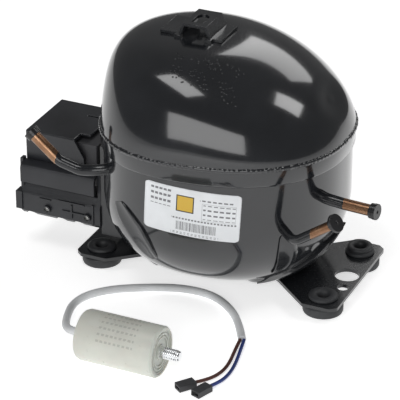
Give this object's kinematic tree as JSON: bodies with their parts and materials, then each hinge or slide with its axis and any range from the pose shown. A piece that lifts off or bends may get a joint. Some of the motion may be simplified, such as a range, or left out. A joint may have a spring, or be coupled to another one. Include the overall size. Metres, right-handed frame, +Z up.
{
  "type": "hermetic reciprocating compressor",
  "caption": "Black egg-shaped welded compressor shell on two rubber-mounted feet, with stub tubes, side electrical box and a separate leaded run capacitor.",
  "frame": {"origin": "middle of the four foot bolts, at the level of the rubber feet's undersides", "axes": "+Z up, +X towards the suction tube, -Y towards the rating label"},
  "size_m": [0.2769, 0.2594, 0.1847],
  "materials": {
    "shell_paint": "gloss black enamel",
    "foot_paint": "semi-gloss black enamel",
    "foot_rubber": "matt black rubber",
    "label_film": "white printed film",
    "stub_copper": "bare copper with painted root",
    "cap_rubber": "black rubber",
    "black_moulding": "fine-grained black moulding",
    "relay_moulding": "matt dark grey moulding",
    "terminal_steel": "plated steel",
    "seal_glass": "sealing glass",
    "cast_block": "machined grey iron",
    "laminations": "stacked electrical steel",
    "magnet_wire": "enamelled copper wire",
    "machined_steel": "ground steel",
    "gasket_fibre": "fibre gasket",
    "head_alloy": "die cast alloy",
    "muffler_plastic": "natural moulded plastic",
    "spring_steel": "oiled spring steel",
    "lead_cover": "woven lead sleeve",
    "can_plastic": "off-white moulded plastic",
    "stud_zinc": "bright aluminium",
    "sheath_pvc": "light grey soft plastic",
    "brown_pvc": "brown soft plastic",
    "blue_pvc": "blue soft plastic"
  },
  "bodies": {
    "shell": {"lower_shell": "shell_paint", "upper_shell": "shell_paint", "seam_weld": "shell_paint", "rating_label": "label_film", "left_foot": "foot_paint", "right_foot": "foot_paint", "top_bracket": "foot_paint", "terminal_bracket": "foot_paint", "grommet_left_front": "foot_rubber", "grommet_left_rear": "foot_rubber", "grommet_right_front": "foot_rubber", "grommet_right_rear": "foot_rubber", "process_tube": "stub_copper", "suction_tube": "stub_copper", "discharge_tube": "stub_copper", "terminal_cup": "terminal_steel", "terminal_glass": "seal_glass", "terminal_pins": "terminal_steel", "start_relay": "relay_moulding", "overload_protector": "relay_moulding", "terminal_base": "black_moulding", "terminal_board": "black_moulding", "terminal_screws": "terminal_steel", "spring_seats": "terminal_steel"},
    "pump": {"crankcase": "cast_block", "stator_core": "laminations", "stator_windings": "magnet_wire", "motor_bolts": "machined_steel", "cylinder_gasket": "gasket_fibre", "head_gasket": "gasket_fibre", "valve_plate": "machined_steel", "cylinder_head": "head_alloy", "head_bolts": "machined_steel", "suction_muffler": "muffler_plastic", "discharge_muffler": "machined_steel", "suspension_springs": "spring_steel", "discharge_loop": "machined_steel", "motor_leads": "lead_cover"},
    "crank": {"crankshaft": "cast_block", "rotor": "laminations", "oil_pickup": "machined_steel"},
    "slider": {"slider_block": "machined_steel"},
    "gallery_link": {"gallery_plug": "machined_steel"},
    "yoke": {"scotch_yoke": "machined_steel", "piston": "cast_block"},
    "suction_valve": {"suction_reed": "spring_steel"},
    "discharge_valve": {"discharge_reed": "spring_steel"},
    "cover": {"electrical_cover": "black_moulding"},
    "lid": {"terminal_lid": "black_moulding"},
    "cap_on_process": {"process_cap": "cap_rubber"},
    "cap_on_suction": {"suction_cap": "cap_rubber"},
    "cap_on_discharge": {"discharge_cap": "cap_rubber"},
    "capacitor": {"capacitor_can": "can_plastic", "capacitor_end": "can_plastic", "capacitor_stud": "stud_zinc", "sheath_cord": "sheath_pvc", "brown_wire": "brown_pvc", "blue_wire": "blue_pvc", "brown_receptacle": "relay_moulding", "blue_receptacle": "relay_moulding"}
  },
  "joints": [
    {"name": "pump_float", "type": "slide", "parent": "shell", "child": "pump", "axis": [0, 0, 1], "range_m": [-0.002, 0.002], "stiffness_N_per_m": 24000, "deforming": ["suspension_springs", "discharge_loop", "motor_leads"]},
    {"name": "crank_spin", "type": "hinge", "parent": "pump", "child": "crank", "pos_m": [-0.006, 0, 0.06], "axis": [0, 0, 1], "continuous": true},
    {"name": "slider_turn", "type": "hinge", "parent": "crank", "child": "slider", "pos_m": [-0.014, 0, 0.1095], "axis": [0, 0, 1], "continuous": true},
    {"name": "gallery_turn", "type": "hinge", "parent": "crank", "child": "gallery_link", "pos_m": [-0.01, 0, 0.1095], "axis": [0, 0, 1], "continuous": true},
    {"name": "yoke_turn", "type": "hinge", "parent": "gallery_link", "child": "yoke", "pos_m": [-0.014, 0, 0.1095], "axis": [0, 0, 1], "continuous": true},
    {"name": "suction_reed_bend", "type": "hinge", "parent": "pump", "child": "suction_valve", "pos_m": [0.05922, -0.005, 0.1015], "axis": [0, -1, 0], "range_deg": [0, 8], "stiffness_Nm_per_rad": 0.05},
    {"name": "discharge_reed_bend", "type": "hinge", "parent": "pump", "child": "discharge_valve", "pos_m": [0.06258, 0.005, 0.1005], "axis": [0, 1, 0], "range_deg": [0, 8], "stiffness_Nm_per_rad": 0.05},
    {"name": "cover_pull", "type": "slide", "parent": "shell", "child": "cover", "axis": [-1, 0, 0], "range_m": [0, 0.06]},
    {"name": "lid_swing", "type": "hinge", "parent": "shell", "child": "lid", "pos_m": [-0.125, -0.0304, 0.0649], "axis": [-1, 0, 0], "range_deg": [0, 95]},
    {"name": "process_cap_pull", "type": "slide", "parent": "shell", "child": "cap_on_process", "axis": [-0.7661, 0, 0.6428], "range_m": [0, 0.018]},
    {"name": "suction_cap_pull", "type": "slide", "parent": "shell", "child": "cap_on_suction", "axis": [0.9888, -0.1431, 0.0421], "range_m": [0, 0.018]},
    {"name": "discharge_cap_pull", "type": "slide", "parent": "shell", "child": "cap_on_discharge", "axis": [0.7823, -0.1639, 0.601], "range_m": [0, 0.018]},
    {"name": "capacitor_move", "type": "slide", "parent": "shell", "child": "capacitor", "axis": [0, -1, 0], "range_m": [0, 0.05]}
  ],
  "couplings": [
    {"joint": "slider_turn", "follows": "crank_spin", "ratio": -1},
    {"joint": "gallery_turn", "follows": "crank_spin", "ratio": -2},
    {"joint": "yoke_turn", "follows": "crank_spin", "ratio": 1}
  ]
}
